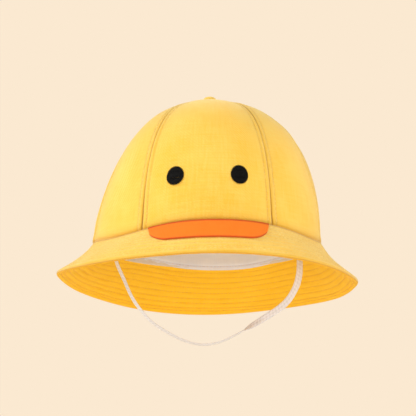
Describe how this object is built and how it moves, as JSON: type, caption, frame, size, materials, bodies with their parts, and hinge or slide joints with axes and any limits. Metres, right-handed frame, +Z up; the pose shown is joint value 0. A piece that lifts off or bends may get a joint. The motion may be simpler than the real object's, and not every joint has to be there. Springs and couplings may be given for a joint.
{
  "type": "children's bucket hat",
  "caption": "Child's duck bucket hat: panelled crown, stitched sloping brim, lift-up bill flap, stitched eyes, top button and hanging chin elastic.",
  "frame": {"origin": "middle of the head opening, in the plane of the seam between crown and brim; the head that holds the hat up meets it here", "axes": "+Z up through the crown, -Y towards the front with the eyes and the bill, +X towards the side on the viewer's right when the viewer faces the front"},
  "size_m": [0.2164, 0.218, 0.194],
  "materials": {
    "yellow_twill": "matt cotton twill",
    "orange_twill": "matt cotton twill",
    "white_cotton": "matt plain-woven cotton",
    "interlining": "non-woven felt",
    "black_thread": "satin-stitch embroidery thread",
    "white_elastic": "flat braided elastic",
    "button_metal": "tinned steel"
  },
  "bodies": {
    "hat": {"crown_panel_front": "yellow_twill", "crown_panel_front_right": "yellow_twill", "crown_panel_back_right": "yellow_twill", "crown_panel_back": "yellow_twill", "crown_panel_back_left": "yellow_twill", "crown_panel_front_left": "yellow_twill", "seam_tape_front_right": "white_cotton", "seam_tape_right": "white_cotton", "seam_tape_back_right": "white_cotton", "seam_tape_back_left": "white_cotton", "seam_tape_left": "white_cotton", "seam_tape_front_left": "white_cotton", "crown_seam_allowance": "yellow_twill", "sweatband": "white_cotton", "sweatband_stiffening": "interlining", "brim_upper": "yellow_twill", "brim_interlining": "interlining", "brim_under": "yellow_twill", "bill_sewn_edge": "orange_twill", "eye_left": "black_thread", "eye_right": "black_thread", "button_cover": "yellow_twill", "button_shell_and_shank": "button_metal", "button_washer": "button_metal", "elastic_tab_left": "white_elastic", "elastic_tab_right": "white_elastic"},
    "bill": {"bill_upper": "orange_twill", "bill_wadding": "interlining", "bill_under": "orange_twill"},
    "chin_strap": {"chin_elastic": "white_elastic"}
  },
  "joints": [
    {"name": "bill_lift", "type": "hinge", "parent": "hat", "child": "bill", "pos_m": [0, -0.0765, 0], "axis": [-1, 0, 0], "range_deg": [0, 55]},
    {"name": "chin_strap_swing", "type": "hinge", "parent": "hat", "child": "chin_strap", "pos_m": [0, -0.042, 0], "axis": [1, 0, 0], "range_deg": [-40, 95]}
  ]
}
